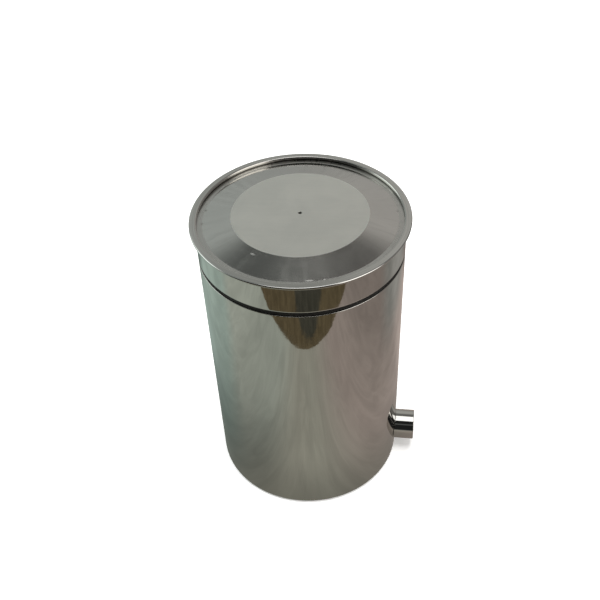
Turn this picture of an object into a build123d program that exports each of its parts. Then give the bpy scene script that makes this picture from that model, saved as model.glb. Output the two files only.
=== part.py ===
"""Open-mouthed liquid nitrogen dewar with a lift-off insulated lid.

A double-walled, vacuum-insulated stainless vessel stands on four rubber feet. The lid rests on a
rubber gasket and its plug hangs in the mouth. A capped evacuation port sticks out low on the side.
Millimetres. +Z is up and runs along the vessel's axis, and +X points out of the evacuation port.
The origin is on the floor, at the centre of the vessel.
"""
import os

from build123d import *

# ---------------------------------------------------------------- overall sizes
BODY_RADIUS = 100.0        # outside of the outer shell
MOUTH_HEIGHT = 281.5       # the mouth's flat face above the floor
MOUTH_RADIUS = 80.0        # bore of the inner vessel
INNER_FLOOR = 40.0         # underside of the inner vessel's floor
WELD_GAP = 0.05            # radial gap left at a welded or bonded round seat

# ---------------------------------------------------------------- outer shell and base
SHELL_WALL = 1.5
SHELL_FOOT = 1.0           # gap between the floor and the shell's rolled bottom edge
SHELL_HEM = 6.0            # width of the rolled edge, turned inwards
SHELL_BEND = 1.0           # inside radius of that bend
SHELL_TOP_ROUND = 0.4
BASE_HEIGHT = 8.0          # underside of the base plate
BASE_WALL = 2.0
BASE_SKIRT = 4.0           # depth of the base plate's turned-down edge
BASE_BEND = 0.8

# ---------------------------------------------------------------- rubber feet
FOOT_COUNT = 4
FOOT_RADIUS = 10.0
FOOT_INSET = 28.0          # from the body's surface in to the centre of each foot
FOOT_TAPER = 4.0           # degrees
FOOT_ROUND = 1.2

# ---------------------------------------------------------------- inner vessel
INNER_WALL = 1.0
INNER_KNUCKLE = 10.0       # inside radius between the floor and the wall
INNER_COLLAR = 3.0         # straight stretch of the floor pan above its knuckle
NECK_RING_HEIGHT = 4.0
NECK_RING_EDGE = 0.4

# ---------------------------------------------------------------- inside the vacuum space
WRAP_CLEARANCE = 0.3
WRAP_THICKNESS = 7.0
BLANKET_THICKNESS = 7.0    # the same foil under the inner vessel's floor
WRAP_END_GAP = 6.0         # below the neck ring
SOCKET_RADIUS = 14.0
SOCKET_WALL = 2.0
SOCKET_HEIGHT = 8.0
POST_WALL = 4.0
SORBENT_RADIUS = 38.0
SORBENT_HEIGHT = 7.0
SORBENT_ROUND = 1.5

# ---------------------------------------------------------------- evacuation port, along +X
PORT_RISE = 2.5            # between the base plate's top and the port tube
PORT_TUBE_RADIUS = 13.5
PORT_TUBE_WALL = 2.5
PORT_TUBE_INSIDE = 10.0    # length of tube inside the shell
PORT_TUBE_OUTSIDE = 12.0   # length of tube outside the shell
PORT_CAP_CLEARANCE = 0.3   # radial, between the cap and the tube
PORT_CAP_WALL = 2.7
PORT_CAP_GAP = 0.4         # between the shell and the cap's open end, which follows its curve
PORT_CAP_LENGTH = 20.6
PORT_CAP_END_WALL = 1.5
PORT_CAP_ROUND = 0.5
PLUG_CLEARANCE = 0.05      # running fit of the plug in the tube
PLUG_LENGTH = 16.0
PLUG_HEAD_LIP = 1.7        # how far the plug's head overlaps the tube's end
PLUG_HEAD_THICKNESS = 1.5
PLUG_HEAD_ROUND = 0.4
RING_SECTION = 1.9         # thickness of every O-ring's cross-section
RING_GROOVE_WIDTH = 2.3
RING_CLEARANCE = 0.05      # between an O-ring and what slides on it, or its groove's floor
PLUG_RING_FIRST = 5.0      # first ring's distance behind the plug's head
PLUG_RING_PITCH = 5.5
PLUG_RING_COUNT = 2
CAP_RING_FROM_END = 4.0    # cap ring's distance from the tube's outer end

# ---------------------------------------------------------------- lid
GASKET_THICKNESS = 3.8     # shows as the dark joint between the body and the lid
GASKET_MOUTH_GAP = 3.0     # between the mouth's edge and the gasket
GASKET_INSET = 1.2         # how far the gasket lies inside the body's surface
LID_WALL = 1.2
LID_BEND = 0.8             # inside radius at the skirt's bottom edge
SKIRT_HEIGHT = 29.6        # straight skirt, from its bottom edge to the rim
FLARE_HEIGHT = 2.0         # radius of the bend from the skirt out to the rim's flat underside
RIM_OVERHANG = 4.8         # how far the rim stands out past the body
RIM_WIDTH = 7.0
RIM_EDGE = 2.6             # thickness of the rim's rolled outer edge
RIM_OUTER_ROUND = 1.2
RIM_INNER_ROUND = 1.3
TOP_WALL = 1.2
TOP_RECESS = 3.8           # from the rim's top down to the top plate's flange
TOP_FLANGE_WIDTH = 5.3     # flat flange between the rim and the cone
TOP_CONE_WIDTH = 27.1      # from the flange in to the raised flat disc
TOP_CONE_RISE = 5.7
TOP_BEND = 1.0
PLUG_PAN_CLEARANCE = 1.5   # radial, between the lid's plug and the mouth
PLUG_PAN_WALL = 0.8
PLUG_PAN_DEPTH = 55.0      # how far the plug hangs below the mouth's face
PLUG_PAN_FLANGE = 8.0
PLUG_PAN_ROUND = 4.0
FOAM_CLEARANCE = 0.3
VENT_RADIUS = 1.75
VENT_TUBE_WALL = 1.0

# ---------------------------------------------------------------- worked out from the above
shell_inside = BODY_RADIUS - SHELL_WALL
seat_radius = shell_inside - WELD_GAP
inner_outside = MOUTH_RADIUS + INNER_WALL
inner_weld = INNER_FLOOR + INNER_WALL + INNER_KNUCKLE + INNER_COLLAR
base_top = BASE_HEIGHT + BASE_WALL
foot_circle = BODY_RADIUS - FOOT_INSET
post_radius = SOCKET_RADIUS - SOCKET_WALL - WELD_GAP
sorbent_bore = SOCKET_RADIUS + WELD_GAP
wrap_outside = inner_outside + WRAP_CLEARANCE + WRAP_THICKNESS

port_height = base_top + PORT_RISE + PORT_TUBE_RADIUS
tube_inside = PORT_TUBE_RADIUS - PORT_TUBE_WALL
tube_start = shell_inside - PORT_TUBE_INSIDE
tube_end = BODY_RADIUS + PORT_TUBE_OUTSIDE
cap_inside = PORT_TUBE_RADIUS + PORT_CAP_CLEARANCE
cap_radius = cap_inside + PORT_CAP_WALL
cap_start = BODY_RADIUS + PORT_CAP_GAP
cap_end = cap_start + PORT_CAP_LENGTH
plug_radius = tube_inside - PLUG_CLEARANCE
plug_end = tube_end + PLUG_HEAD_THICKNESS
plug_head_radius = tube_inside + PLUG_HEAD_LIP
ring_radius = RING_SECTION / 2

lid_bottom = MOUTH_HEIGHT + GASKET_THICKNESS
lid_floor = lid_bottom + LID_WALL
skirt_top = lid_bottom + SKIRT_HEIGHT
rim_radius = BODY_RADIUS + RIM_OVERHANG
rim_inside = rim_radius - RIM_WIDTH
rim_top = skirt_top + FLARE_HEIGHT + RIM_EDGE
flange_top = rim_top - TOP_RECESS
disc_top = flange_top + TOP_CONE_RISE
top_outside = rim_inside - WELD_GAP
top_flange = rim_inside - TOP_FLANGE_WIDTH
top_disc = top_flange - TOP_CONE_WIDTH
lid_inside = BODY_RADIUS - LID_WALL
pan_outside = MOUTH_RADIUS - PLUG_PAN_CLEARANCE
pan_inside = pan_outside - PLUG_PAN_WALL
pan_bottom = MOUTH_HEIGHT - PLUG_PAN_DEPTH
pan_floor = pan_bottom + PLUG_PAN_WALL
pan_flange_top = lid_floor + PLUG_PAN_WALL
vent_tube_radius = VENT_RADIUS + VENT_TUBE_WALL
vent_tube_seat = vent_tube_radius + WELD_GAP

PROFILE = Plane.XZ         # profiles are drawn with x as the radius and y as the height
PORT_AXIS = Axis((0, 0, port_height), (1, 0, 0))


def round_corner(x, y, radius):
    """Round the corner nearest (x, y) of the profile sketch that is open."""
    fillet(vertices().sort_by_distance((x, y))[0], radius)


def outline(*points):
    """A closed straight-sided profile through points, in the sketch that is open."""
    Polygon(*points, align=None)


def band(inner, outer, bottom, top):
    """A rectangle between two radii and two heights, in the profile sketch that is open."""
    outline((inner, bottom), (outer, bottom), (outer, top), (inner, top))


def port_band(inner, outer, start, end):
    """A rectangle between two radii about the port's axis and two places along it."""
    low, high = port_height + inner, port_height + outer
    outline((start, low), (end, low), (end, high), (start, high))


def ring_slot(floor, outside, place):
    """The profile of an O-ring's groove about the port's axis, centred at place along it."""
    port_band(floor, outside, place - RING_GROOVE_WIDTH / 2, place + RING_GROOVE_WIDTH / 2)


def port_disc(x):
    """The plane across the port's axis at x."""
    return Plane(origin=(x, 0, port_height), x_dir=(0, 1, 0), z_dir=(1, 0, 0))


def save(piece, name):
    """Label the piece and write it to its own file."""
    piece.part.label = name
    export_step(piece.part, f"parts/{name}.step")


os.makedirs("parts", exist_ok=True)

# ================================================================ the vessel
with BuildPart() as outer_shell:
    hem_edge = BODY_RADIUS - SHELL_HEM
    hem_top = SHELL_FOOT + SHELL_WALL
    with BuildSketch(PROFILE):
        outline(
            (BODY_RADIUS, MOUTH_HEIGHT), (BODY_RADIUS, SHELL_FOOT), (hem_edge, SHELL_FOOT),
            (hem_edge, hem_top), (shell_inside, hem_top), (shell_inside, MOUTH_HEIGHT),
        )
        round_corner(BODY_RADIUS, SHELL_FOOT, SHELL_BEND + SHELL_WALL)
        round_corner(shell_inside, hem_top, SHELL_BEND)
        round_corner(BODY_RADIUS, MOUTH_HEIGHT, SHELL_TOP_ROUND)
    revolve(axis=Axis.Z)
    with BuildSketch(port_disc(tube_start)):
        Circle(PORT_TUBE_RADIUS + WELD_GAP)
    extrude(amount=PORT_TUBE_INSIDE + SHELL_WALL, mode=Mode.SUBTRACT)

with BuildPart() as outer_base:
    skirt_bottom = BASE_HEIGHT - BASE_SKIRT
    skirt_inside = seat_radius - BASE_WALL
    with BuildSketch(PROFILE):
        outline(
            (0, base_top), (seat_radius, base_top), (seat_radius, skirt_bottom),
            (skirt_inside, skirt_bottom), (skirt_inside, BASE_HEIGHT), (0, BASE_HEIGHT),
        )
        round_corner(seat_radius, base_top, BASE_BEND + BASE_WALL)
        round_corner(skirt_inside, BASE_HEIGHT, BASE_BEND)
    revolve(axis=Axis.Z)

with BuildPart() as rubber_feet:
    with BuildSketch(Plane.XY.offset(BASE_HEIGHT)):
        with PolarLocations(foot_circle, FOOT_COUNT, start_angle=180 / FOOT_COUNT):
            Circle(FOOT_RADIUS)
    extrude(amount=-BASE_HEIGHT, taper=FOOT_TAPER)
    fillet(edges().group_by(Axis.Z)[0], FOOT_ROUND)

with BuildPart() as inner_wall:
    with BuildSketch(PROFILE):
        band(MOUTH_RADIUS, inner_outside, inner_weld, MOUTH_HEIGHT)
    revolve(axis=Axis.Z)

with BuildPart() as inner_base:
    floor_top = INNER_FLOOR + INNER_WALL
    with BuildSketch(PROFILE):
        outline(
            (0, INNER_FLOOR), (inner_outside, INNER_FLOOR), (inner_outside, inner_weld),
            (MOUTH_RADIUS, inner_weld), (MOUTH_RADIUS, floor_top), (0, floor_top),
        )
        round_corner(inner_outside, INNER_FLOOR, INNER_KNUCKLE + INNER_WALL)
        round_corner(MOUTH_RADIUS, floor_top, INNER_KNUCKLE)
    revolve(axis=Axis.Z)

with BuildPart() as neck_ring:
    with BuildSketch(PROFILE):
        band(inner_outside + WELD_GAP, seat_radius, MOUTH_HEIGHT - NECK_RING_HEIGHT, MOUTH_HEIGHT)
    revolve(axis=Axis.Z)
    chamfer(edges().filter_by(GeomType.CIRCLE).group_by(Axis.Z)[-1], NECK_RING_EDGE)

with BuildPart() as superinsulation_wrap:
    wrap_top = MOUTH_HEIGHT - NECK_RING_HEIGHT - WRAP_END_GAP
    with BuildSketch(PROFILE):
        band(inner_outside + WRAP_CLEARANCE, wrap_outside, inner_weld, wrap_top)
    revolve(axis=Axis.Z)

with BuildPart() as superinsulation_base:
    blanket_top = INNER_FLOOR - WRAP_CLEARANCE
    blanket_outside = inner_outside - INNER_KNUCKLE
    with BuildSketch(PROFILE):
        band(
            SORBENT_RADIUS + WRAP_CLEARANCE, blanket_outside,
            blanket_top - BLANKET_THICKNESS, blanket_top,
        )
    revolve(axis=Axis.Z)

with BuildPart() as sorbent_canister:
    with BuildSketch(PROFILE):
        band(sorbent_bore, SORBENT_RADIUS, INNER_FLOOR - SORBENT_HEIGHT, INNER_FLOOR)
        round_corner(SORBENT_RADIUS, INNER_FLOOR - SORBENT_HEIGHT, SORBENT_ROUND)
    revolve(axis=Axis.Z)

with BuildPart() as base_socket:
    with BuildSketch(PROFILE):
        band(SOCKET_RADIUS - SOCKET_WALL, SOCKET_RADIUS, base_top, base_top + SOCKET_HEIGHT)
    revolve(axis=Axis.Z)

with BuildPart() as inner_socket:
    with BuildSketch(PROFILE):
        band(SOCKET_RADIUS - SOCKET_WALL, SOCKET_RADIUS, INNER_FLOOR - SOCKET_HEIGHT, INNER_FLOOR)
    revolve(axis=Axis.Z)

with BuildPart() as support_post:
    with BuildSketch(PROFILE):
        band(post_radius - POST_WALL, post_radius, base_top, INNER_FLOOR)
    revolve(axis=Axis.Z)

# ================================================================ the evacuation port
with BuildPart() as port_tube:
    cap_ring_place = tube_end - CAP_RING_FROM_END
    cap_ring_centre = cap_inside - RING_CLEARANCE - ring_radius
    cap_groove_floor = cap_ring_centre - ring_radius - RING_CLEARANCE
    with BuildSketch(PROFILE):
        port_band(tube_inside, PORT_TUBE_RADIUS, tube_start, tube_end)
    revolve(axis=PORT_AXIS)
    with BuildSketch(PROFILE):
        ring_slot(cap_groove_floor, cap_inside, cap_ring_place)
    revolve(axis=PORT_AXIS, mode=Mode.SUBTRACT)

with BuildPart() as port_cap_o_ring:
    with BuildSketch(PROFILE):
        with Locations((cap_ring_place, port_height + cap_ring_centre)):
            Circle(ring_radius)
    revolve(axis=PORT_AXIS)

with BuildPart() as port_cap:
    cap_bore_end = cap_end - PORT_CAP_END_WALL
    low, wall, high = port_height, port_height + cap_inside, port_height + cap_radius
    with BuildSketch(PROFILE):
        outline(
            (cap_start - cap_radius, wall), (cap_start - cap_radius, high), (cap_end, high),
            (cap_end, low), (cap_bore_end, low), (cap_bore_end, wall),
        )
        round_corner(cap_end, high, PORT_CAP_ROUND)
    revolve(axis=PORT_AXIS)
    with Locations((0, 0, port_height)):
        Cylinder(cap_start, 4 * cap_radius, mode=Mode.SUBTRACT)

with BuildPart() as port_plug:
    plug_start = tube_end - PLUG_LENGTH
    plug_ring_centre = plug_radius - ring_radius
    plug_groove_floor = plug_ring_centre - ring_radius - RING_CLEARANCE
    plug_ring_places = [
        tube_end - PLUG_RING_FIRST - PLUG_RING_PITCH * number for number in range(PLUG_RING_COUNT)
    ]
    side, head, axis_height = port_height + plug_radius, port_height + plug_head_radius, port_height
    with BuildSketch(PROFILE):
        outline(
            (plug_start, axis_height), (plug_end, axis_height), (plug_end, head),
            (tube_end, head), (tube_end, side), (plug_start, side),
        )
        round_corner(plug_end, head, PLUG_HEAD_ROUND)
    revolve(axis=PORT_AXIS)
    with BuildSketch(PROFILE):
        for place in plug_ring_places:
            ring_slot(plug_groove_floor, tube_inside, place)
    revolve(axis=PORT_AXIS, mode=Mode.SUBTRACT)

with BuildPart() as port_plug_o_rings:
    with BuildSketch(PROFILE):
        with Locations(*[(place, port_height + plug_ring_centre) for place in plug_ring_places]):
            Circle(ring_radius)
    revolve(axis=PORT_AXIS)

# ================================================================ the lid
with BuildPart() as lid_gasket:
    with BuildSketch(PROFILE):
        band(MOUTH_RADIUS + GASKET_MOUTH_GAP, BODY_RADIUS - GASKET_INSET, MOUTH_HEIGHT, lid_bottom)
    revolve(axis=Axis.Z)

with BuildPart() as lid_skirt:
    skirt_hole = pan_outside + WELD_GAP
    with BuildSketch(PROFILE):
        outline(
            (skirt_hole, lid_bottom), (BODY_RADIUS, lid_bottom), (BODY_RADIUS, skirt_top),
            (lid_inside, skirt_top), (lid_inside, lid_floor), (skirt_hole, lid_floor),
        )
        round_corner(BODY_RADIUS, lid_bottom, LID_BEND + LID_WALL)
        round_corner(lid_inside, lid_floor, LID_BEND)
    revolve(axis=Axis.Z)

with BuildPart() as lid_rim:
    flare_end = (BODY_RADIUS + FLARE_HEIGHT, skirt_top + FLARE_HEIGHT)
    with BuildSketch(PROFILE):
        with BuildLine():
            flare = TangentArc((BODY_RADIUS, skirt_top), flare_end, tangent=(0, 1))
            Polyline(
                flare @ 1, (rim_radius, rim_top - RIM_EDGE), (rim_radius, rim_top),
                (rim_inside, rim_top), (rim_inside, skirt_top), flare @ 0,
            )
        make_face()
        round_corner(rim_radius, rim_top, RIM_OUTER_ROUND)
        round_corner(rim_radius, rim_top - RIM_EDGE, RIM_OUTER_ROUND)
        round_corner(rim_inside, rim_top, RIM_INNER_ROUND)
    revolve(axis=Axis.Z)

with BuildPart() as lid_top_plate:
    plate_steps = [
        (top_disc, disc_top), (top_flange, flange_top), (top_outside, flange_top),
    ]
    underside = [(radius, height - TOP_WALL) for radius, height in reversed(plate_steps)]
    with BuildSketch(PROFILE):
        outline(
            (VENT_RADIUS, disc_top), *plate_steps, *underside, (VENT_RADIUS, disc_top - TOP_WALL),
        )
        round_corner(*plate_steps[0], TOP_BEND + TOP_WALL)
        round_corner(*plate_steps[1], TOP_BEND)
        round_corner(*underside[2], TOP_BEND)
        round_corner(*underside[1], TOP_BEND + TOP_WALL)
    revolve(axis=Axis.Z)

with BuildPart() as lid_plug_pan:
    pan_flange = pan_outside + PLUG_PAN_FLANGE
    with BuildSketch(PROFILE):
        outline(
            (vent_tube_seat, pan_bottom), (pan_outside, pan_bottom), (pan_outside, lid_floor),
            (pan_flange, lid_floor), (pan_flange, pan_flange_top), (pan_inside, pan_flange_top),
            (pan_inside, pan_floor), (vent_tube_seat, pan_floor),
        )
        round_corner(pan_outside, pan_bottom, PLUG_PAN_ROUND + PLUG_PAN_WALL)
        round_corner(pan_inside, pan_floor, PLUG_PAN_ROUND)
    revolve(axis=Axis.Z)

with BuildPart() as lid_foam:
    foam_plug = pan_inside - FOAM_CLEARANCE
    foam_head = rim_inside - FOAM_CLEARANCE
    foam_step = pan_flange_top + FOAM_CLEARANCE
    foam_bottom = pan_floor + FOAM_CLEARANCE
    foam_rise = TOP_WALL + FOAM_CLEARANCE
    foam_hole = vent_tube_seat
    with BuildSketch(PROFILE):
        outline(
            (foam_hole, foam_bottom), (foam_plug, foam_bottom), (foam_plug, foam_step),
            (foam_head, foam_step), (foam_head, flange_top - foam_rise),
            (top_flange, flange_top - foam_rise), (top_disc, disc_top - foam_rise),
            (foam_hole, disc_top - foam_rise),
        )
        round_corner(foam_plug, foam_bottom, PLUG_PAN_ROUND)
    revolve(axis=Axis.Z)

with BuildPart() as lid_vent_tube:
    with BuildSketch(PROFILE):
        band(VENT_RADIUS, vent_tube_radius, pan_bottom, disc_top - TOP_WALL)
    revolve(axis=Axis.Z)

# ================================================================ written pieces
PIECES = {
    "outer_shell": outer_shell,
    "outer_base": outer_base,
    "rubber_feet": rubber_feet,
    "inner_wall": inner_wall,
    "inner_base": inner_base,
    "neck_ring": neck_ring,
    "superinsulation_wrap": superinsulation_wrap,
    "superinsulation_base": superinsulation_base,
    "sorbent_canister": sorbent_canister,
    "base_socket": base_socket,
    "inner_socket": inner_socket,
    "support_post": support_post,
    "port_tube": port_tube,
    "port_cap_o_ring": port_cap_o_ring,
    "port_cap": port_cap,
    "port_plug": port_plug,
    "port_plug_o_rings": port_plug_o_rings,
    "lid_gasket": lid_gasket,
    "lid_skirt": lid_skirt,
    "lid_rim": lid_rim,
    "lid_top_plate": lid_top_plate,
    "lid_plug_pan": lid_plug_pan,
    "lid_foam": lid_foam,
    "lid_vent_tube": lid_vent_tube,
}
for name, piece in PIECES.items():
    save(piece, name)
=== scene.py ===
"""The looks of the dewar: camera, studio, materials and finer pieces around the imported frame.

Metres, in the frame's own axes: +Z up along the vessel, +X out of the evacuation port. What the camera
sees is a pale studio. What the polished steel reflects is a room: a pale bench top, the floor beyond its
edge, walls, windows and an overhead light. The bench and that floor are met by reflections only.
"""
import math

import bmesh
import bpy
from mathutils import Matrix, Vector


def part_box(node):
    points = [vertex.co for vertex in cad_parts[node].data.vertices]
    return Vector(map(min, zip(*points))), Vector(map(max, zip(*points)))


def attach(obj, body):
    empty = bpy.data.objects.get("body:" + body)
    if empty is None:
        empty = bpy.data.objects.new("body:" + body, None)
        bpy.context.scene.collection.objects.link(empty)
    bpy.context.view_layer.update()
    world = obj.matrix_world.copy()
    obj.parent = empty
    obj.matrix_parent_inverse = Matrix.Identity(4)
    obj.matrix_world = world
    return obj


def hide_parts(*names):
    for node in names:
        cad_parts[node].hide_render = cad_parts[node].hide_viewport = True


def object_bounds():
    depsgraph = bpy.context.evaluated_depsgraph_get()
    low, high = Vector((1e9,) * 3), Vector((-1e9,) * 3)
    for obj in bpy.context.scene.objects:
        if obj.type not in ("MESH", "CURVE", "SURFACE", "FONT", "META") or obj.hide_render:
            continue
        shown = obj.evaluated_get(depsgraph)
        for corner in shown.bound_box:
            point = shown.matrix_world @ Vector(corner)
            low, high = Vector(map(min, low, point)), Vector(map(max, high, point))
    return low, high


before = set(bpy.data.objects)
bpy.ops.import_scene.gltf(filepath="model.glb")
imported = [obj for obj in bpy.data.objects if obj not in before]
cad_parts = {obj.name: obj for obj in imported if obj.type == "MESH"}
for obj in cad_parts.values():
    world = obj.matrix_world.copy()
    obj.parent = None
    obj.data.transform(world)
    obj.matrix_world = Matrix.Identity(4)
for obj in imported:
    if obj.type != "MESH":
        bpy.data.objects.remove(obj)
cad_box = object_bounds()
rad = math.radians

# ---------------------------------------------------------------- places read from the frame
MM = 0.001
floor_height = cad_box[0][2]
shell_low, shell_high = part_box("outer_shell")
skirt_low, skirt_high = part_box("lid_skirt")
rim_low, rim_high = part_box("lid_rim")
plate_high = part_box("lid_top_plate")[1]
gasket_low, gasket_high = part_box("lid_gasket")
cap_low, cap_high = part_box("port_cap")
tube_low, tube_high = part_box("port_tube")
inner_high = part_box("inner_wall")[1]

body_radius = shell_high.y
mouth_height = shell_high.z
rim_radius = rim_high.x
port_height = (cap_low.z + cap_high.z) / 2
port_tube_radius = (tube_high.y - tube_low.y) / 2

# ---------------------------------------------------------------- wall sizes, as in the CAD part
SHELL_WALL = 1.5 * MM
SHELL_HEM = 6.0 * MM
SHELL_BEND = 2.5 * MM      # outside radius of the rolled bottom edge
SHELL_EDGE = 0.4 * MM     # softening of the mouth's outer edge
INNER_WALL = 1.0 * MM
PLUG_CLEARANCE = 1.5 * MM  # radial, between the lid's plug and the mouth
WELD_GAP = 0.05 * MM
LID_WALL = 1.2 * MM
LID_BEND = 2.0 * MM        # outside radius of the skirt's bottom edge
RIM_WIDTH = 7.0 * MM
RIM_EDGE = 2.6 * MM        # thickness of the rolled outer edge
RIM_BEND = 2.0 * MM        # from the skirt out to the rim's flat underside
RIM_OUTER_ROUND = 1.2 * MM
RIM_INNER_ROUND = 1.3 * MM
PLATE_WALL = 1.2 * MM
PLATE_FLANGE = 5.3 * MM
PLATE_CONE = 27.1 * MM
PLATE_CONE_RISE = 5.7 * MM
PLATE_BEND = 1.0 * MM
VENT_RADIUS = 1.75 * MM
VENT_EDGE = 0.25 * MM
GASKET_WIDTH = 15.8 * MM
GASKET_ROUND = 0.5 * MM
CAP_WALL = 2.7 * MM
CAP_END_WALL = 1.5 * MM
CAP_ROUND = 0.5 * MM
CAP_GAP = 0.4 * MM         # between the shell and the cap's curved open end
HOLE_CLEARANCE = 0.05 * MM
SMALL_ROUND = 0.2 * MM     # on edges that only show close up

# ---------------------------------------------------------------- camera
VIEW_AZIMUTH = 8.6         # degrees from -Y towards +X, where the camera stands
VIEW_DISTANCE = 6.448      # from the axis, in body radii
VIEW_HEIGHT = 7.989        # above the floor, in body radii
VIEW_DOWN = 42.358         # degrees below level
VIEW_TURN = -0.356         # degrees to the right of the axis
VIEW_ROLL = -2.789
LENS_MM = 51.17
SENSOR_MM = 36.0
facing_camera = Matrix.Rotation(rad(VIEW_AZIMUTH), 4, "Z")

# ---------------------------------------------------------------- stage, in body radii
BENCH_FRONT = -3.36        # where the bench top ends, towards the camera
BENCH_REACH = 25.0
GROUND_REACH = 60.0
GROUND_DEPTH = 0.75        # metres from the bench top down to the floor of the room


def add_camera():
    data = bpy.data.cameras.new("camera")
    data.lens = LENS_MM
    data.sensor_width = SENSOR_MM
    data.clip_end = 50.0
    camera = bpy.data.objects.new("camera", data)
    bpy.context.scene.collection.objects.link(camera)
    down, turn = rad(VIEW_DOWN), rad(VIEW_TURN)
    forward = Vector((math.sin(turn) * math.cos(down), math.cos(turn) * math.cos(down), -math.sin(down)))
    level = Vector((math.cos(turn), -math.sin(turn), 0.0))
    above = level.cross(forward)
    roll = rad(VIEW_ROLL)
    right = level * math.cos(roll) + above * math.sin(roll)
    up = above * math.cos(roll) - level * math.sin(roll)
    axes = Matrix((right, up, -forward)).transposed().to_4x4()
    place = Matrix.Translation(Vector((0.0, -VIEW_DISTANCE, VIEW_HEIGHT)) * body_radius)
    camera.matrix_world = facing_camera @ place @ axes
    bpy.context.scene.camera = camera


# ---------------------------------------------------------------- node helpers
class Graph:
    """A node tree with short ways to add nodes and join them."""

    def __init__(self, tree):
        self.tree = tree
        tree.nodes.clear()

    def add(self, kind, inputs=None, **settings):
        node = self.tree.nodes.new(kind)
        for name, value in settings.items():
            setattr(node, name, value)
        for name, value in (inputs or {}).items():
            self.join(value, node.inputs[name])
        return node

    def join(self, value, socket):
        if isinstance(value, bpy.types.NodeSocket):
            self.tree.links.new(value, socket)
        else:
            socket.default_value = value

    def math(self, operation, *values):
        node = self.add("ShaderNodeMath", operation=operation)
        for value, socket in zip(values, node.inputs):
            self.join(value, socket)
        return node.outputs[0]

    def times(self, first, *rest):
        for value in rest:
            first = self.math("MULTIPLY", first, value)
        return first

    def plus(self, first, *rest):
        for value in rest:
            first = self.math("ADD", first, value)
        return first

    def ramp(self, value, low, high, out_low=0.0, out_high=1.0):
        """Value mapped smoothly from low..high to out_low..out_high, held at both ends."""
        node = self.add("ShaderNodeMapRange", interpolation_type="SMOOTHSTEP")
        for number, item in enumerate((value, low, high, out_low, out_high)):
            self.join(item, node.inputs[number])
        return node.outputs[0]

    def blend(self, share, a, b):
        """Number a where share is 0, and b where it is 1."""
        node = self.add("ShaderNodeMix", data_type="FLOAT")
        for number, item in ((0, share), (2, a), (3, b)):
            self.join(item, node.inputs[number])
        return node.outputs[0]

    def mix(self, share, a, b):
        """Colour a where share is 0, and b where it is 1."""
        node = self.add("ShaderNodeMix", data_type="RGBA")
        self.join(share, node.inputs[0])
        for item, number in ((a, 6), (b, 7)):
            self.join((*item, 1.0) if isinstance(item, tuple) else item, node.inputs[number])
        return node.outputs[2]

    def noise(self, vector, scale, detail=2.0, roughness=0.5, distortion=0.0):
        node = self.add("ShaderNodeTexNoise", {
            "Vector": vector, "Scale": scale, "Detail": detail,
            "Roughness": roughness, "Distortion": distortion,
        })
        return node.outputs["Fac"]

    def cells(self, vector, scale, feature="F1"):
        node = self.add("ShaderNodeTexVoronoi", {"Vector": vector, "Scale": scale}, feature=feature)
        return node.outputs["Distance"]

    def combine(self, x, y, z):
        return self.add("ShaderNodeCombineXYZ", {"X": x, "Y": y, "Z": z}).outputs[0]

    def split(self, vector):
        return tuple(self.add("ShaderNodeSeparateXYZ", {"Vector": vector}).outputs)

    def where(self):
        return self.add("ShaderNodeTexCoord").outputs["Object"]

    def stretched(self, vector, x, y, z):
        node = self.add("ShaderNodeVectorMath", {0: vector, 1: (x, y, z)}, operation="MULTIPLY")
        return node.outputs[0]

    def round_the_axis(self, vector):
        """Radius, angle in radians and height of a place about Z."""
        x, y, z = self.split(vector)
        radius = self.math("SQRT", self.plus(self.times(x, x), self.times(y, y)))
        return radius, self.math("ARCTAN2", y, x), z

    def bump(self, height, distance, below=None):
        inputs = {"Height": height, "Distance": distance, "Strength": 1.0}
        if below is not None:
            inputs["Normal"] = below
        return self.add("ShaderNodeBump", inputs).outputs[0]

    def surface(self, shader):
        self.add("ShaderNodeOutputMaterial", {"Surface": shader.outputs[0]})


def new_material(name):
    material = bpy.data.materials.new(name)
    material.use_nodes = True
    return material, Graph(material.node_tree)


# ---------------------------------------------------------------- mesh helpers
SHARP = rad(35)
AROUND = 256               # steps round a turned piece


def finish_mesh(bm, name, material):
    """A smooth-shaded object from a bmesh, with its real corners kept sharp."""
    bmesh.ops.recalc_face_normals(bm, faces=bm.faces)
    for face in bm.faces:
        face.smooth = True
    for edge in bm.edges:
        edge.smooth = not (edge.is_manifold and edge.calc_face_angle() > SHARP)
    mesh = bpy.data.meshes.new(name)
    bm.to_mesh(mesh)
    bm.free()
    mesh.materials.append(material)
    obj = bpy.data.objects.new(name, mesh)
    bpy.context.scene.collection.objects.link(obj)
    return obj


def arc(centre, radius, start, end, steps):
    """Points on an arc of a profile, from one angle to another, in degrees."""
    points = []
    for step in range(steps + 1):
        angle = rad(start + (end - start) * step / steps)
        points.append((centre[0] + radius * math.cos(angle), centre[1] + radius * math.sin(angle)))
    return points


def rounded(*corners, segments=6, support=0.15 * MM):
    """A closed profile through (radius, height) corners. A corner's third number rounds it.

    Each rounded corner gets a support point on both sides, so that flat faces stay flat when they
    are shaded smooth. A corner of two numbers is passed through as it is.
    """
    points = []
    for number, corner in enumerate(corners):
        here = Vector(corner[:2])
        if len(corner) == 2:
            points.append(tuple(here))
            continue
        before = (Vector(corners[number - 1][:2]) - here).normalized()
        after = (Vector(corners[(number + 1) % len(corners)][:2]) - here).normalized()
        half = before.angle(after) / 2
        reach = corner[2] / math.tan(half)
        centre = here + (before + after).normalized() * (corner[2] / math.sin(half))
        first, last = here + before * reach, here + after * reach
        points.append(tuple(first + before * support))
        for step in range(segments + 1):
            spoke = (first - centre).slerp(last - centre, step / segments).normalized()
            points.append(tuple(centre + spoke * corner[2]))
        points.append(tuple(last + after * support))
    return points


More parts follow.
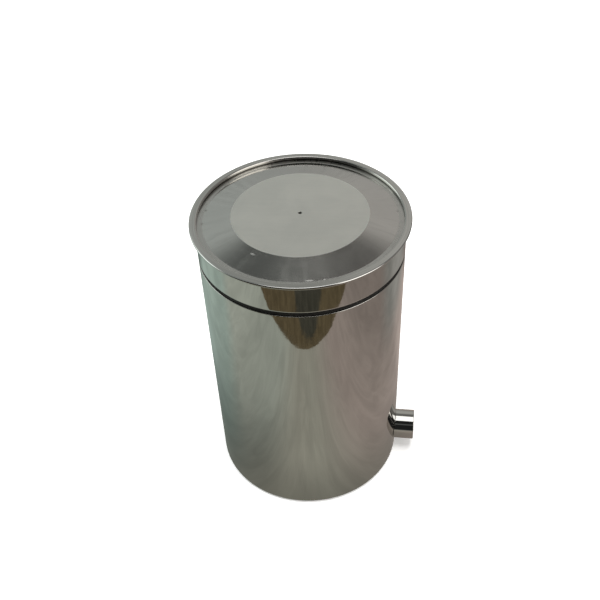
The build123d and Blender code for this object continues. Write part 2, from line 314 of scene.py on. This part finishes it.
def turned(profile, steps=AROUND):
    """A bmesh of a closed profile turned about Z. A point at radius 0 is a pole."""
    bm = bmesh.new()
    rings = []
    for radius, height in profile:
        if radius < 1e-9:
            rings.append([bm.verts.new((0.0, 0.0, height))] * steps)
            continue
        ring = []
        for step in range(steps):
            angle = math.tau * step / steps
            ring.append(bm.verts.new((radius * math.cos(angle), radius * math.sin(angle), height)))
        rings.append(ring)
    for low, high in zip(rings, rings[1:] + rings[:1]):
        for step in range(steps):
            ahead = (step + 1) % steps
            corners = []
            for vertex in (low[step], low[ahead], high[ahead], high[step]):
                if vertex not in corners:
                    corners.append(vertex)
            if len(corners) > 2:
                bm.faces.new(corners)
    return bm


def swept(rings):
    """A bmesh through closed rings of points, the last joined to the first."""
    bm = bmesh.new()
    loops = [[bm.verts.new(point) for point in ring] for ring in rings]
    for low, high in zip(loops, loops[1:] + loops[:1]):
        for side in range(len(low)):
            ahead = (side + 1) % len(low)
            bm.faces.new((low[side], low[ahead], high[ahead], high[side]))
    return bm


def on_port_axis(bm):
    """Lay a mesh turned about Z along the evacuation port, with its height from x = 0."""
    bm.transform(Matrix.Translation((0.0, 0.0, port_height)) @ Matrix.Rotation(math.pi / 2, 4, "Y"))
    return bm


def stand_in(piece, body, slot, *nodes):
    """A piece that stands for CAD nodes, or adds to them when none is given."""
    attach(piece, body)
    if nodes:
        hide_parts(*nodes)


# ---------------------------------------------------------------- studio
def room_world():
    """The room round the bench that the steel reflects, by direction alone.

    Back, side and front are as the camera sees them. The elevation runs from 0 at the horizon.
    """
    world = bpy.data.worlds.new("room")
    bpy.context.scene.world = world
    world.use_nodes = True
    g = Graph(world.node_tree)
    direction = g.add("ShaderNodeTexCoord").outputs["Generated"]
    spun = g.add("ShaderNodeVectorRotate", {"Vector": direction, "Angle": -rad(VIEW_AZIMUTH)},
                 rotation_type="Z_AXIS").outputs[0]
    x, y, z = g.split(spun)
    elevation = g.math("ARCSINE", z)
    turn = g.math("ARCTAN2", x, y)
    off_back = g.math("ABSOLUTE", turn)

    # the back wall: a darker corner near its middle, and a dark stretch of ceiling above it
    wall = g.ramp(elevation, rad(8), rad(20), 0.40, 0.48)
    off_corner = g.math("ABSOLUTE", g.plus(turn, rad(2.5)))
    corner = g.ramp(off_corner, rad(2), rad(10), 0.76, 1.05)
    wall = g.times(wall, g.blend(g.ramp(elevation, rad(30), rad(38)), 1.0, corner))
    ceiling = g.times(g.ramp(off_back, rad(5), rad(26), 0.19, 0.13), g.ramp(x, -0.3, 0.3, 0.93, 1.12))
    wall = g.blend(g.ramp(elevation, rad(39), rad(52)), wall, ceiling)
    # blinds on the left of it
    slats = g.ramp(g.math("SINE", g.times(turn, 190.0)), -0.6, 0.8, 0.80, 1.20)
    blinds = g.times(g.ramp(turn, rad(-9), rad(-11)), g.ramp(turn, rad(-21), rad(-17)),
                     g.ramp(elevation, rad(36), rad(28)))
    wall = g.times(wall, g.blend(blinds, 1.0, slats))
    # the sides, the dark part of the room behind the camera, and a window at the left and front right
    light = g.blend(g.ramp(off_back, rad(30), rad(44)), wall, g.ramp(x, -0.5, 0.5, 0.34, 0.22))
    # a dim strip runs across the dark part
    strip = g.ramp(g.math("ABSOLUTE", g.plus(elevation, rad(-42))), rad(6), rad(3), 0.02, 0.11)
    light = g.blend(g.ramp(off_back, rad(98), rad(112)), light, strip)
    low = g.ramp(elevation, rad(2), rad(8))
    left_window = g.times(g.ramp(turn, rad(-46), rad(-52)), g.ramp(turn, rad(-94), rad(-88)),
                          low, g.ramp(elevation, rad(46), rad(38)))
    right_window = g.times(g.ramp(turn, rad(98), rad(106)), g.ramp(turn, rad(150), rad(140)),
                           low, g.ramp(elevation, rad(64), rad(54)))
    light = g.blend(left_window, light, 1.7)
    light = g.blend(right_window, light, 2.2)
    overhead = g.ramp(elevation, rad(69), rad(73))
    light = g.blend(overhead, light, 1.9)
    light = g.blend(g.ramp(elevation, rad(-1), rad(-5)), light, 0.22)

    tint = g.mix(g.ramp(x, -0.45, 0.45), (0.93, 1.0, 0.975), (1.0, 0.965, 0.93))
    tint = g.mix(overhead, tint, (1.0, 1.0, 1.0))
    background = g.add("ShaderNodeBackground", {"Color": tint, "Strength": light})
    g.add("ShaderNodeOutputWorld", {"Surface": background.outputs[0]})


def only_seen_by(obj, camera=False, glossy=False):
    """Limit which rays meet a stage object. Light passes it either way."""
    obj.visible_camera = camera
    obj.visible_glossy = glossy
    obj.visible_diffuse = False
    obj.visible_shadow = False
    obj.visible_transmission = False
    obj.visible_volume_scatter = False


def stage_plane(name, left, right, front, back, height, material):
    """A level sheet in the camera's own axes that only reflections meet. Its units are body radii."""
    bm = bmesh.new()
    corners = ((left, front), (right, front), (right, back), (left, back))
    bm.faces.new([bm.verts.new((x, y, 0.0)) for x, y in corners])
    sheet = finish_mesh(bm, name, material)
    sheet.matrix_world = facing_camera @ Matrix.Translation((0, 0, height)) @ Matrix.Scale(body_radius, 4)
    only_seen_by(sheet, glossy=True)


def bench_material():
    """A pale glowing bench top with a long grain, painted shade at the dewar's foot, tinted side to side."""
    material, g = new_material("stage_bench")
    place = g.where()
    x, y, _ = g.split(place)
    away = g.math("SQRT", g.plus(g.times(x, x), g.times(y, y)))
    # painted shade near the dewar's foot, and painted light further out, more on the left and at the back
    light = g.times(g.ramp(away, 1.0, 1.7, 0.245, 0.365), g.ramp(x, 1.8, 3.4, 1.0, 0.74))
    on_left = g.plus(g.ramp(away, 1.1, 2.7, 0.175, 0.395), g.ramp(x, -2.6, -3.3, 0.0, 0.075))
    light = g.blend(g.ramp(x, -0.2, -1.2), light, on_left)
    behind = g.ramp(x, -0.5, 0.5, 1.06, 1.32)
    light = g.times(light, g.blend(g.ramp(y, 0.5, 1.3), 1.0, behind))
    light = g.times(light, g.ramp(y, 2.3, 3.1, 1.0, 0.55))
    fine = g.noise(g.stretched(place, 13.0, 0.8, 1.0), 1.0, 4.0, 0.65, 1.2)
    broad = g.noise(g.stretched(place, 2.2, 0.7, 1.0), 1.0, 3.0, 0.55, 1.6)
    light = g.times(light, g.ramp(fine, 0.25, 0.80, 0.955, 1.04), g.ramp(broad, 0.30, 0.72, 0.91, 1.07))
    tint = g.mix(g.ramp(y, -0.9, 0.1), (0.96, 1.03, 0.91), (0.85, 1.05, 0.95))
    tint = g.mix(g.ramp(x, -1.5, -0.3), tint, (1.0, 0.985, 0.84))
    tint = g.mix(g.ramp(x, 0.1, 1.6), tint, (1.03, 0.87, 0.79))
    tint = g.mix(g.times(g.ramp(x, 2.3, 3.4), g.ramp(y, -0.6, 0.6)), tint, (1.0, 0.98, 0.92))
    g.surface(g.add("ShaderNodeEmission", {"Color": tint, "Strength": light}))
    material.cycles.emission_sampling = "NONE"
    return material


def ground_material():
    """The brown floor beyond the bench, glowing with painted light, with a darker grey patch out in front."""
    material, g = new_material("stage_ground")
    place = g.where()
    x, y, _ = g.split(place)
    mottle = g.noise(place, 1.6, 4.0, 0.65, 0.6)
    across = g.math("DIVIDE", g.math("SUBTRACT", x, 1.0), 3.4)
    along = g.math("DIVIDE", g.math("ADD", y, 13.2), 2.2)
    away = g.plus(g.times(across, across), g.times(along, along), g.times(mottle, 0.5))
    # a darker grey patch out in front, towards the camera
    dark_patch = g.ramp(away, 1.35, 1.05)
    tone = g.mix(dark_patch, (0.125, 0.098, 0.056), (0.062, 0.060, 0.046))
    g.surface(g.add("ShaderNodeEmission", {
        "Color": tone, "Strength": g.ramp(mottle, 0.30, 0.70, 0.72, 1.18)}))
    material.cycles.emission_sampling = "NONE"
    return material


def sweep_material():
    """The pale floor and backdrop, which glow a little so that shadows on them stay soft."""
    material, g = new_material("stage_pale")
    shade = g.ramp(g.noise(g.where(), 3.0), 0.3, 0.7, 0.985, 1.0)
    tone = g.mix(shade, (0.0, 0.0, 0.0), (0.90, 0.90, 0.895))
    g.surface(g.add("ShaderNodeAddShader", {
        0: g.add("ShaderNodeBsdfDiffuse", {"Color": tone}).outputs[0],
        1: g.add("ShaderNodeEmission", {"Color": tone, "Strength": 0.35}).outputs[0]}))
    return material


def add_studio():
    reach, cove, wall = 4.0, 1.0, 5.0
    bend = arc((reach, floor_height + cove), cove, -90, 0, 9)
    profile = [(0.0, floor_height)] + bend + [(reach + cove, floor_height + wall), (0.0, floor_height + wall)]
    sweep = finish_mesh(turned(profile, 96), "stage_sweep", sweep_material())
    only_seen_by(sweep, camera=True)

    lift = 0.2 * MM            # keeps the bench's sheet off the pale floor
    stage_plane("stage_bench", -BENCH_REACH, BENCH_REACH, BENCH_FRONT, BENCH_REACH,
                floor_height + lift, bench_material())
    stage_plane("stage_ground", -GROUND_REACH, GROUND_REACH, -GROUND_REACH, GROUND_REACH,
                floor_height - GROUND_DEPTH, ground_material())

    panel = bpy.data.lights.new("overhead_panel", "AREA")
    panel.shape = "RECTANGLE"
    panel.size, panel.size_y = 1.6, 1.1
    panel.energy = 42.0
    light = bpy.data.objects.new("overhead_panel", panel)
    light.location = (0.0, 0.0, 1.9)
    light.visible_glossy = False
    light.visible_camera = False
    bpy.context.scene.collection.objects.link(light)


# ---------------------------------------------------------------- materials
STEEL = (0.600, 0.592, 0.560)


def mirror_steel(name="mirror_steel", upright=True):
    """Polished stainless: faint smears, polishing lines and the slight waves of rolled sheet."""
    material, g = new_material(name)
    place = g.where()
    radius, angle, z = g.round_the_axis(place)
    unrolled = g.combine(g.times(angle, body_radius), radius, z)
    smear = g.noise(place, 22.0, 5.0, 0.62, 0.5)
    lines = (700.0, 40.0, 16.0) if upright else (12.0, 900.0, 900.0)
    polish = g.noise(g.stretched(unrolled, *lines), 1.0, 3.0, 0.6)
    tone = g.mix(g.ramp(g.noise(place, 9.0, 4.0, 0.6), 0.3, 0.7), tuple(c * 0.965 for c in STEEL), STEEL)
    rough = g.plus(g.ramp(smear, 0.42, 0.78, 0.035, 0.085), g.ramp(polish, 0.45, 0.85, 0.0, 0.03))
    waves = g.noise(g.stretched(unrolled, 24.0, 20.0, 14.0), 1.0, 1.0, 0.4)
    ripples = g.noise(g.stretched(unrolled, 110.0, 60.0, 70.0), 1.0, 2.0, 0.5)
    normal = g.bump(g.plus(waves, g.times(ripples, 0.16)), 0.26 * MM)
    normal = g.bump(polish, 0.0006 * MM, normal)
    g.surface(g.add("ShaderNodeBsdfPrincipled", {
        "Base Color": tone, "Metallic": 1.0, "Roughness": rough, "Normal": normal}))
    return material


def lip_steel():
    """The rim's steel: fine turned lines on the lip, and painted shade: the bend under it near black."""
    material, g = new_material("mirror_steel_lip")
    place = g.where()
    radius, angle, z = g.round_the_axis(place)
    turned_lines = g.noise(g.combine(g.times(radius, 1500.0), g.times(angle, 1.5), 0.0), 1.0, 2.0, 0.6)
    smear = g.noise(place, 30.0, 4.0, 0.6, 0.5)
    # painted shade: the bend under the lip is painted near black, standing in for the dark line of shade
    # beneath it
    under = g.times(g.ramp(z, rim_high.z - RIM_EDGE + 0.6 * MM, rim_high.z - RIM_EDGE - 0.2 * MM),
                    g.ramp(z, rim_low.z - 0.6 * MM, rim_low.z + 0.4 * MM))
    outer = g.ramp(radius, rim_radius - 2.2 * MM, rim_radius - 1.0 * MM)
    dull, clean = tuple(c * 0.86 for c in STEEL), tuple(c * 1.04 for c in STEEL)
    tone = g.mix(g.ramp(turned_lines, 0.35, 0.65), dull, clean)
    tone = g.mix(outer, tone, (0.62, 0.615, 0.59))
    tone = g.mix(g.times(under, 0.92), tone, (0.035, 0.033, 0.028))
    inside = rim_radius - RIM_WIDTH
    rough = g.plus(g.ramp(smear, 0.4, 0.75, 0.06, 0.12), g.ramp(turned_lines, 0.4, 0.7, 0.0, 0.05),
                   g.ramp(radius, inside + 0.9 * MM, inside + 0.3 * MM, 0.0, 0.10))
    normal = g.bump(g.noise(place, 18.0, 1.0, 0.4), 0.10 * MM)
    normal = g.bump(turned_lines, 0.0016 * MM, normal)
    g.surface(g.add("ShaderNodeBsdfPrincipled", {
        "Base Color": tone, "Metallic": 1.0, "Roughness": rough, "Normal": normal}))
    return material


def spot(g, x, y, azimuth, radius, length, width, grain):
    """A soft mark on the lid, 1 at its middle. The azimuth is from the camera's side, in degrees."""
    angle = rad(azimuth + VIEW_AZIMUTH)
    cx, cy = radius * math.sin(angle), -radius * math.cos(angle)
    out = g.plus(g.times(g.math("SUBTRACT", x, cx), math.sin(angle) / width),
                 g.times(g.math("SUBTRACT", y, cy), -math.cos(angle) / width))
    along = g.plus(g.times(g.math("SUBTRACT", x, cx), math.cos(angle) / length),
                   g.times(g.math("SUBTRACT", y, cy), math.sin(angle) / length))
    return g.ramp(g.plus(g.times(out, out), g.times(along, along), g.times(grain, 1.6)), 2.0, 0.7)


def lid_steel():
    """The lid's plate: a satin disc in a cone and a flange that are closer to polished."""
    material, g = new_material("satin_steel")
    place = g.where()
    radius, angle, _ = g.round_the_axis(place)
    x, y, _ = g.split(place)
    disc = g.ramp(radius, plate_disc + 0.4 * MM, plate_disc - 0.4 * MM)
    cloud = g.noise(place, 24.0, 5.0, 0.6, 0.4)
    rolled = g.noise(g.stretched(place, 26.0, 420.0, 1.0), 1.0, 4.0, 0.6)
    spun = g.noise(g.combine(g.times(radius, 900.0), g.times(angle, 3.0), 0.0), 1.0, 3.0, 0.55)
    grain = g.noise(place, 420.0, 3.0, 0.6)
    # marks by azimuth in degrees, then radius, length and width in millimetres
    specks = [(-37.7, 71.5, 3.4, 1.1), (11.7, 92.0, 1.4, 0.9), (3.6, 91.0, 4.5, 0.8)]
    smudges = [(-101.0, 91.5, 2.2, 1.8), (-88.0, 92.5, 2.4, 1.3), (92.0, 92.0, 2.2, 1.2)]
    bright, dark = 0.0, 0.0
    for azimuth, out, length, width in specks:
        bright = g.plus(bright, spot(g, x, y, azimuth, out * MM, length * MM, width * MM, grain))
    for azimuth, out, length, width in smudges:
        dark = g.plus(dark, spot(g, x, y, azimuth, out * MM, length * MM, width * MM, grain))
    satin = g.mix(g.ramp(g.plus(cloud, g.times(rolled, 0.35)), 0.45, 0.90), (0.790, 0.790, 0.735),
                  (0.850, 0.845, 0.785))
    sheen = g.mix(g.ramp(cloud, 0.3, 0.7), tuple(c * 0.94 for c in STEEL), STEEL)
    # radial streaks on the cone and flange: the darker tone is a painted reflection, and the added roughness
    # is wiping
    wipes_and_painted_streaks = g.noise(g.combine(g.times(angle, 9.0), g.times(radius, 14.0), 0.0), 1.0, 4.0, 0.62, 0.4)
    sheen = g.mix(g.ramp(wipes_and_painted_streaks, 0.50, 0.66, 0.0, 0.20), sheen, (0.40, 0.405, 0.375))
    tone = g.mix(disc, sheen, satin)
    tone = g.mix(g.times(g.math("MINIMUM", dark, 1.0), 0.38), tone, (0.22, 0.21, 0.19))
    tone = g.mix(g.times(g.math("MINIMUM", bright, 1.0), 0.36), tone, (0.92, 0.90, 0.88))
    polished = g.plus(g.ramp(cloud, 0.35, 0.75, 0.10, 0.17), g.ramp(spun, 0.4, 0.8, 0.0, 0.03),
                      g.ramp(wipes_and_painted_streaks, 0.45, 0.70, 0.0, 0.06))
    polished = g.plus(polished, g.ramp(radius, plate_flange - 1.0 * MM, plate_flange + 0.5 * MM, 0.0, 0.16))
    rough = g.blend(disc, polished, g.ramp(cloud, 0.35, 0.75, 0.34, 0.40))
    rough = g.plus(rough, g.times(g.math("MINIMUM", g.plus(bright, dark), 1.0), 0.22))
    normal = g.bump(g.noise(place, 16.0, 1.0, 0.4), 0.07 * MM)
    normal = g.bump(g.blend(disc, spun, rolled), 0.0010 * MM, normal)
    g.surface(g.add("ShaderNodeBsdfPrincipled", {
        "Base Color": tone, "Metallic": 1.0, "Roughness": rough, "Normal": normal}))
    return material


def mill_steel():
    """Unpolished stainless inside and underneath: drawing lines, water marks and a dull grain."""
    material, g = new_material("mill_steel")
    place = g.where()
    radius, angle, z = g.round_the_axis(place)
    drawn = g.noise(g.combine(g.times(angle, 110.0), g.times(radius, 60.0), g.times(z, 18.0)), 1.0, 4.0, 0.6)
    marks = g.noise(place, 30.0, 5.0, 0.65, 0.8)
    tone = g.mix(g.ramp(marks, 0.35, 0.72), (0.49, 0.485, 0.46), (0.60, 0.595, 0.565))
    rough = g.plus(g.ramp(marks, 0.3, 0.7, 0.20, 0.32), g.ramp(drawn, 0.35, 0.75, 0.0, 0.08))
    normal = g.bump(drawn, 0.006 * MM)
    g.surface(g.add("ShaderNodeBsdfPrincipled", {
        "Base Color": tone, "Metallic": 1.0, "Roughness": rough, "Normal": normal}))
    return material


def weld_steel():
    """A weld bead: brighter ripples with straw and blue tints between them."""
    material, g = new_material("weld_steel")
    place = g.where()
    heat = g.noise(place, 160.0, 3.0, 0.6)
    tone = g.mix(g.ramp(heat, 0.42, 0.62), (0.56, 0.55, 0.52), (0.52, 0.45, 0.34))
    tone = g.mix(g.ramp(heat, 0.62, 0.74), tone, (0.34, 0.36, 0.44))
    rough = g.ramp(g.noise(place, 300.0, 3.0), 0.3, 0.7, 0.22, 0.36)
    normal = g.bump(g.noise(place, 900.0, 3.0, 0.6), 0.01 * MM)
    g.surface(g.add("ShaderNodeBsdfPrincipled", {
        "Base Color": tone, "Metallic": 1.0, "Roughness": rough, "Normal": normal}))
    return material


def black_rubber():
    """Moulded nitrile: near black, dusty in places, with a fine moulded grain."""
    material, g = new_material("black_rubber")
    place = g.where()
    dust = g.noise(place, 55.0, 5.0, 0.65)
    tone = g.mix(g.ramp(dust, 0.48, 0.78), (0.012, 0.012, 0.012), (0.040, 0.039, 0.036))
    rough = g.ramp(dust, 0.3, 0.7, 0.52, 0.74)
    normal = g.bump(g.noise(place, 1500.0, 3.0, 0.6), 0.012 * MM)
    g.surface(g.add("ShaderNodeBsdfPrincipled", {
        "Base Color": tone, "Roughness": rough, "Normal": normal}))
    return material


def foil_blanket():
    """Aluminised film over spacer net: creased, bright, with a faint square net under it."""
    material, g = new_material("foil_blanket")
    place = g.where()
    _, angle, z = g.round_the_axis(place)
    crease = g.cells(place, 70.0, "DISTANCE_TO_EDGE")
    fine = g.noise(place, 260.0, 4.0, 0.6)
    around = g.math("PINGPONG", g.times(angle, body_radius), 1.5 * MM)
    upward = g.math("PINGPONG", z, 1.5 * MM)
    net = g.ramp(g.math("MINIMUM", around, upward), 0.12 * MM, 0.30 * MM)
    tone = g.mix(g.ramp(fine, 0.3, 0.7), (0.80, 0.80, 0.81), (0.90, 0.90, 0.91))
    rough = g.ramp(fine, 0.3, 0.7, 0.14, 0.26)
    normal = g.bump(g.ramp(crease, 0.0, 0.10), 0.30 * MM)
    normal = g.bump(net, 0.04 * MM, normal)
    g.surface(g.add("ShaderNodeBsdfPrincipled", {
        "Base Color": tone, "Metallic": 1.0, "Roughness": rough, "Normal": normal}))
    return material


def glass_fibre():
    """Wound glass fibre and resin: yellow-green, with the cloth's weave showing through."""
    material, g = new_material("glass_fibre")
    place = g.where()
    _, angle, z = g.round_the_axis(place)
    warp = g.math("SINE", g.times(z, 3600.0))
    weft = g.math("SINE", g.times(angle, 44.0))
    weave = g.times(warp, weft)
    cloud = g.noise(place, 120.0, 3.0)
    tone = g.mix(g.ramp(weave, -0.5, 0.5), (0.30, 0.33, 0.12), (0.44, 0.46, 0.20))
    tone = g.mix(g.ramp(cloud, 0.35, 0.75, 0.0, 0.4), tone, (0.52, 0.50, 0.26))
    g.surface(g.add("ShaderNodeBsdfPrincipled", {
        "Base Color": tone, "Roughness": g.ramp(cloud, 0.3, 0.7, 0.34, 0.50),
        "Normal": g.bump(weave, 0.03 * MM), "Coat Weight": 0.3}))
    return material


def rigid_foam():
    """Cut polyurethane foam: straw coloured, with open cells at two sizes."""
    material, g = new_material("rigid_foam")
    place = g.where()
    cell = g.cells(place, 900.0)
    pore = g.cells(place, 260.0)
    tone = g.mix(g.ramp(cell, 0.05, 0.5), (0.78, 0.66, 0.38), (0.88, 0.79, 0.54))
    # the open pores are painted darker: painted shade in the cells' hollows
    tone = g.mix(g.ramp(pore, 0.22, 0.08), tone, (0.55, 0.43, 0.22))
    normal = g.bump(g.ramp(pore, 0.05, 0.30), 0.25 * MM)
    normal = g.bump(cell, 0.12 * MM, normal)
    g.surface(g.add("ShaderNodeBsdfPrincipled", {
        "Base Color": tone, "Roughness": g.ramp(cell, 0.0, 0.6, 0.95, 0.80), "Normal": normal}))
    return material


def dress(material, *names):
    for name in names:
        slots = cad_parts[name].data.materials
        for number in range(len(slots)):
            slots[number] = material


# ---------------------------------------------------------------- finer pieces
plate_outside = plate_high.x
plate_flange = rim_radius - RIM_WIDTH - PLATE_FLANGE
plate_disc = plate_flange - PLATE_CONE
plate_top = plate_high.z
flange_top = plate_top - PLATE_CONE_RISE


def make_shell(material):
    """The outer shell with a crisp mouth edge, a rolled foot and a true hole for the port's tube."""
    inside, hem_edge = body_radius - SHELL_WALL, body_radius - SHELL_HEM
    foot, hem_top, top = shell_low.z, shell_low.z + SHELL_WALL, mouth_height
    pitch = math.tau * body_radius / AROUND
    hole = port_tube_radius + HOLE_CLEARANCE
    first, last = port_height - hole - pitch, port_height + hole + pitch
    count = round((last - first) / pitch)
    levels = [first + (last - first) * step / count for step in range(count + 1)]
    upper_steps = 12
    step_up = (top - 2 * MM - last) / upper_steps
    levels += [last + step_up * step for step in range(1, upper_steps)]
    outer = [(body_radius, level) for level in reversed(levels)]
    inner = [(inside, level) for level in levels]
    profile = rounded(
        (inside, top), (body_radius, top, SHELL_EDGE), *outer, (body_radius, foot, SHELL_BEND),
        (hem_edge, foot, SMALL_ROUND), (hem_edge, hem_top, SMALL_ROUND),
        (inside, hem_top, SHELL_BEND - SHELL_WALL), *inner,
    )
    bm = turned(profile)

    def in_hole(place):
        return place.x > 0 and math.hypot(place.y, place.z - port_height) < hole

    walls = [face for face in bm.faces if in_hole(face.calc_center_median())]
    bmesh.ops.delete(bm, geom=walls, context="FACES")
    edges = [edge for edge in bm.edges if edge.is_boundary]
    for vertex in {vertex for edge in edges for vertex in edge.verts}:
        radius = math.hypot(vertex.co.x, vertex.co.y)
        spoke = Vector((vertex.co.y, vertex.co.z - port_height)).normalized() * hole
        vertex.co = (math.sqrt(radius ** 2 - spoke.x ** 2), spoke.x, port_height + spoke.y)
    bmesh.ops.bridge_loops(bm, edges=edges)
    stand_in(finish_mesh(bm, "vessel_shell", material), "vessel", "mirror_steel", "outer_shell")


def make_skirt(material):
    """The band under the rim, its bottom edge bent in to a floor that the plug pan passes through."""
    inside, bottom, top = body_radius - LID_WALL, skirt_low.z, skirt_high.z
    hole = inner_high.x - INNER_WALL - PLUG_CLEARANCE + WELD_GAP
    profile = rounded(
        (hole, bottom), (body_radius, bottom, LID_BEND), (body_radius, top), (inside, top),
        (inside, bottom + LID_WALL, LID_BEND - LID_WALL), (hole, bottom + LID_WALL),
    )
    stand_in(finish_mesh(turned(profile), "lid_band", material), "lid", "mirror_steel", "lid_skirt")


def make_rim(material):
    """The rim: a tight bend out from the skirt, a flat lip and a rolled outer edge."""
    bottom, top = rim_low.z, rim_high.z
    inside = rim_radius - RIM_WIDTH
    curve = arc((body_radius + RIM_BEND, bottom), RIM_BEND, 180, 90, 10)
    profile = rounded(
        (inside, bottom), *curve, (rim_radius, top - RIM_EDGE, RIM_OUTER_ROUND),
        (rim_radius, top, RIM_OUTER_ROUND), (inside, top, RIM_INNER_ROUND), segments=10,
    )
    stand_in(finish_mesh(turned(profile), "lid_lip", material), "lid", "mirror_steel", "lid_rim")


def make_plate(material):
    """The lid's plate: the disc with the vent hole, the cone that falls from it and the flange."""
    top, flange, wall = plate_top, flange_top, PLATE_WALL
    profile = rounded(
        (VENT_RADIUS, top, VENT_EDGE), (plate_disc, top, PLATE_BEND + wall),
        (plate_flange, flange, PLATE_BEND), (plate_outside, flange), (plate_outside, flange - wall),
        (plate_flange, flange - wall, PLATE_BEND + wall), (plate_disc, top - wall, PLATE_BEND),
        (VENT_RADIUS, top - wall),
    )
    stand_in(finish_mesh(turned(profile), "lid_plate", material), "lid", "satin_steel", "lid_top_plate")


def make_gasket(material):
    """The rubber ring between the mouth and the lid."""
    outside, low, high = gasket_high.x, gasket_low.z, gasket_high.z
    inside = outside - GASKET_WIDTH
    profile = rounded(
        (inside, low, GASKET_ROUND), (outside, low, GASKET_ROUND), (outside, high, GASKET_ROUND),
        (inside, high, GASKET_ROUND),
    )
    stand_in(finish_mesh(turned(profile), "gasket_ring", material), "lid", "black_rubber", "lid_gasket")


def make_port_cap(material):
    """The cup over the port, its open end coped to the shell that it meets."""
    outside = (cap_high.y - cap_low.y) / 2
    inside, start, end = outside - CAP_WALL, body_radius + CAP_GAP, cap_high.x
    bore_end = end - CAP_END_WALL
    profile = rounded(
        (0.0, end), (outside, end, CAP_ROUND), (outside, start, 0.1 * MM), (inside, start, 0.1 * MM),
        (inside, bore_end, 0.3 * MM), (0.0, bore_end),
    )
    bm = on_port_axis(turned(profile, 160))
    for vertex in bm.verts:
        share = max(0.0, (bore_end - vertex.co.x) / (bore_end - start))
        vertex.co.x -= share * (start - math.sqrt(start ** 2 - vertex.co.y ** 2))
    stand_in(finish_mesh(bm, "port_cap_cup", material), "port_cap", "mirror_steel", "port_cap")


def make_port_weld(material):
    """The weld bead where the tube leaves the shell: a rippled ring that follows the shell's curve."""
    size, ripples, steps, sides = 0.22 * MM, 60, 360, 10
    centre = port_tube_radius + 0.02 * MM
    rings = []
    for step in range(steps):
        angle = math.tau * step / steps
        swell = size * (1 + 0.16 * math.cos(ripples * angle))
        ring = []
        for side in range(sides):
            turn = math.tau * side / sides
            reach = centre + swell * math.cos(turn)
            y, z = reach * math.cos(angle), reach * math.sin(angle)
            x = math.sqrt(body_radius ** 2 - y ** 2) + swell * math.sin(turn)
            ring.append((x, y, port_height + z))
        rings.append(ring)
    stand_in(finish_mesh(swept(rings), "port_weld", material), "vessel", "mill_steel")


def make_mouth_weld(material):
    """A low rippled bead where the neck ring meets the inner wall."""
    size, ripples, steps, sides = 0.25 * MM, 240, 720, 6
    rings = []
    for step in range(steps):
        angle = math.tau * step / steps
        swell = size * (1 + 0.18 * math.cos(ripples * angle))
        ring = []
        for side in range(sides):
            turn = math.tau * side / sides
            out = inner_high.x + 1.8 * swell * math.cos(turn)
            up = mouth_height + 0.5 * swell * math.sin(turn)
            ring.append((out * math.cos(angle), out * math.sin(angle), up))
        rings.append(ring)
    stand_in(finish_mesh(swept(rings), "mouth_weld_inner", material), "vessel", "mill_steel")


add_camera()
room_world()
add_studio()
bpy.context.scene.view_settings.view_transform = "Standard"

upright_polish = mirror_steel()
round_polish = mirror_steel("mirror_steel_turned", upright=False)
lip = lip_steel()
satin = lid_steel()
mill = mill_steel()
weld = weld_steel()
rubber = black_rubber()
dress(upright_polish, "outer_shell", "neck_ring")
dress(round_polish, "lid_skirt", "port_cap")
dress(lip, "lid_rim")
dress(satin, "lid_top_plate")
dress(mill, "outer_base", "inner_wall", "inner_base", "sorbent_canister", "base_socket", "inner_socket",
      "port_tube", "port_plug", "lid_plug_pan", "lid_vent_tube")
dress(rubber, "rubber_feet", "lid_gasket", "port_cap_o_ring", "port_plug_o_rings")
dress(foil_blanket(), "superinsulation_wrap", "superinsulation_base")
dress(glass_fibre(), "support_post")
dress(rigid_foam(), "lid_foam")

make_shell(upright_polish)
make_skirt(round_polish)
make_rim(lip)
make_plate(satin)
make_gasket(rubber)
make_port_cap(round_polish)
make_port_weld(weld)
make_mouth_weld(weld)
